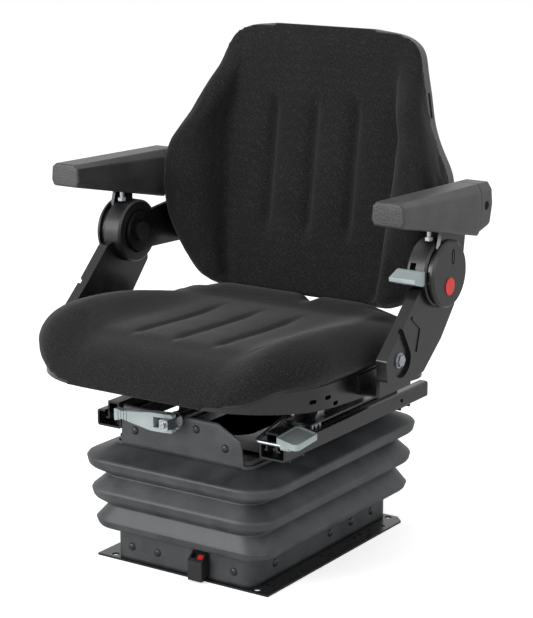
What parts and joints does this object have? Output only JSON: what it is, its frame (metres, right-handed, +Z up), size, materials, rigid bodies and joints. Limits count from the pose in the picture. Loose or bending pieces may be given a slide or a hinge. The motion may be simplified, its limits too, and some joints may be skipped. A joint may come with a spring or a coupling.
{
  "type": "tractor suspension seat",
  "caption": "Driver's seat with armrests, reclining back and fore-and-aft rails on a sprung scissor suspension inside a rubber bellows.",
  "frame": {"origin": "centre of the base plate's underside", "axes": "+Z up, +Y towards the backrest, +X to the sitter's left, which is the right side of the seat seen from the front"},
  "size_m": [0.612, 0.532, 0.7639],
  "materials": {
    "black_steel": "gloss black enamel on pressed steel",
    "zinc_steel": "bright zinc-plated steel",
    "nylon": "natural nylon",
    "buffer_rubber": "moulded black rubber",
    "bellows_rubber": "dull charcoal moulded rubber",
    "black_plastic": "black moulded plastic",
    "grey_plastic": "charcoal moulded plastic",
    "lever_plastic": "light blue-grey moulded plastic",
    "red_plastic": "bright red plastic",
    "seat_fabric": "black woven upholstery cloth"
  },
  "bodies": {
    "base": {"base_plate": "black_steel", "lower_roller_tracks": "black_steel", "base_brackets": "black_steel", "lower_pivot_shaft": "zinc_steel", "bump_stops": "buffer_rubber", "extension_springs": "zinc_steel", "bellows": "bellows_rubber", "lower_bellows_rivets": "black_plastic", "indicator_housing": "black_plastic"},
    "weight_indicator": {"indicator_flag": "red_plastic"},
    "outer_scissor": {"scissor_outer": "black_steel", "centre_bolts": "zinc_steel", "upper_roller_shaft": "zinc_steel"},
    "inner_scissor": {"scissor_inner": "black_steel", "lower_roller_shaft": "zinc_steel"},
    "upper_rollers": {"upper_rollers": "nylon"},
    "lower_rollers": {"lower_rollers": "nylon"},
    "damper_body": {"damper_body": "black_steel"},
    "damper_rod": {"damper_rod": "zinc_steel"},
    "upper_frame": {"upper_frame": "black_steel", "upper_roller_tracks": "black_steel", "frame_brackets": "black_steel", "upper_pivot_shaft": "zinc_steel", "spindle_bearing": "black_steel", "upper_bellows_rivets": "black_plastic", "lower_rail_right": "black_steel", "lower_rail_left": "black_steel", "spring_yoke": "zinc_steel"},
    "weight_spindle": {"adjuster_spindle": "zinc_steel", "fork_pin": "zinc_steel"},
    "weight_lever": {"weight_handle": "lever_plastic"},
    "seat": {"upper_rail_right": "black_steel", "upper_rail_left": "black_steel", "rail_glides": "nylon", "seat_riser_right": "black_steel", "seat_riser_left": "black_steel", "seat_pan": "black_steel", "seat_cushion": "seat_fabric", "side_arm_right": "black_steel", "side_arm_left": "black_steel", "side_arm_bolts": "zinc_steel", "recliner_hub_right": "black_plastic", "recliner_hub_left": "black_plastic", "hub_covers": "black_plastic", "hub_badge": "red_plastic"},
    "slide_latch": {"latch_shaft": "zinc_steel", "slide_bail": "zinc_steel", "slide_paddle": "lever_plastic"},
    "recliner_lever": {"recliner_lever": "lever_plastic"},
    "backrest": {"back_cushion": "seat_fabric", "back_shell": "grey_plastic", "back_brackets": "black_steel"},
    "armrest_right": {"armrest_stem_right": "black_steel", "armrest_pad_right": "grey_plastic", "armrest_cap_right": "grey_plastic", "stop_screw_right": "zinc_steel"},
    "armrest_left": {"armrest_stem_left": "black_steel", "armrest_pad_left": "grey_plastic", "armrest_cap_left": "grey_plastic", "stop_screw_left": "zinc_steel"}
  },
  "joints": [
    {"name": "suspension_travel", "type": "slide", "parent": "base", "child": "upper_frame", "axis": [0, 0, 1], "range_m": [-0.08, 0], "stiffness_N_per_m": 6000, "springref_m": 0.085, "deforming": ["bellows", "extension_springs"]},
    {"name": "outer_scissor_swing", "type": "hinge", "parent": "base", "child": "outer_scissor", "pos_m": [0, 0.154, 0.0185], "axis": [1, 0, 0], "range_deg": [-1, 15.86]},
    {"name": "inner_scissor_swing", "type": "hinge", "parent": "outer_scissor", "child": "inner_scissor", "pos_m": [0, 0.00807, 0.0955], "axis": [-1, 0, 0], "range_deg": [-2, 31.72]},
    {"name": "upper_roller_spin", "type": "hinge", "parent": "outer_scissor", "child": "upper_rollers", "pos_m": [0, -0.13786, 0.1725], "axis": [1, 0, 0], "range_deg": [-5, 165]},
    {"name": "lower_roller_spin", "type": "hinge", "parent": "inner_scissor", "child": "lower_rollers", "pos_m": [0, -0.13786, 0.0185], "axis": [1, 0, 0], "range_deg": [-5, 165]},
    {"name": "damper_tilt", "type": "hinge", "parent": "base", "child": "damper_body", "pos_m": [0, -0.112, 0.022], "axis": [1, 0, 0], "range_deg": [-17.4, 1]},
    {"name": "damper_stroke", "type": "slide", "parent": "damper_body", "child": "damper_rod", "axis": [0, 0.8412, 0.5408], "range_m": [-0.03613, 0.001]},
    {"name": "weight_turn", "type": "hinge", "parent": "upper_frame", "child": "weight_spindle", "pos_m": [-0.006, -0.2, 0.233], "axis": [0, -1, 0], "range_deg": [-20, 20]},
    {"name": "weight_lever_fold", "type": "hinge", "parent": "weight_spindle", "child": "weight_lever", "pos_m": [-0.006, -0.207, 0.233], "axis": [0, 0, 1], "range_deg": [0, 90]},
    {"name": "indicator_slide", "type": "slide", "parent": "base", "child": "weight_indicator", "axis": [1, 0, 0], "range_m": [-0.008, 0]},
    {"name": "seat_slide", "type": "slide", "parent": "upper_frame", "child": "seat", "axis": [0, 1, 0], "range_m": [-0.065, 0.065]},
    {"name": "slide_release", "type": "hinge", "parent": "seat", "child": "slide_latch", "pos_m": [0, -0.06, 0.247], "axis": [-1, 0, 0], "range_deg": [0, 9], "stiffness_Nm_per_rad": 1.5, "springref_deg": -28.65},
    {"name": "recline", "type": "hinge", "parent": "seat", "child": "backrest", "pos_m": [0, 0.05, 0.439], "axis": [-1, 0, 0], "range_deg": [-15, 12]},
    {"name": "recline_release", "type": "hinge", "parent": "seat", "child": "recliner_lever", "pos_m": [0, 0.05, 0.439], "axis": [-1, 0, 0], "range_deg": [0, 14], "stiffness_Nm_per_rad": 0.3, "springref_deg": -28.65},
    {"name": "armrest_right_lift", "type": "hinge", "parent": "seat", "child": "armrest_right", "pos_m": [0, 0.05, 0.439], "axis": [-1, 0, 0], "range_deg": [0, 90]},
    {"name": "armrest_left_lift", "type": "hinge", "parent": "seat", "child": "armrest_left", "pos_m": [0, 0.05, 0.439], "axis": [-1, 0, 0], "range_deg": [0, 90]}
  ],
  "couplings": [
    {"joint": "outer_scissor_swing", "follows": "suspension_travel", "rad_per_m": -3.2419},
    {"joint": "inner_scissor_swing", "follows": "suspension_travel", "rad_per_m": -6.4838},
    {"joint": "upper_roller_spin", "follows": "suspension_travel", "rad_per_m": -33.788},
    {"joint": "lower_roller_spin", "follows": "suspension_travel", "rad_per_m": -33.788},
    {"joint": "damper_tilt", "follows": "suspension_travel", "rad_per_m": 3.5787},
    {"joint": "damper_stroke", "follows": "suspension_travel", "ratio": 0.43912}
  ]
}
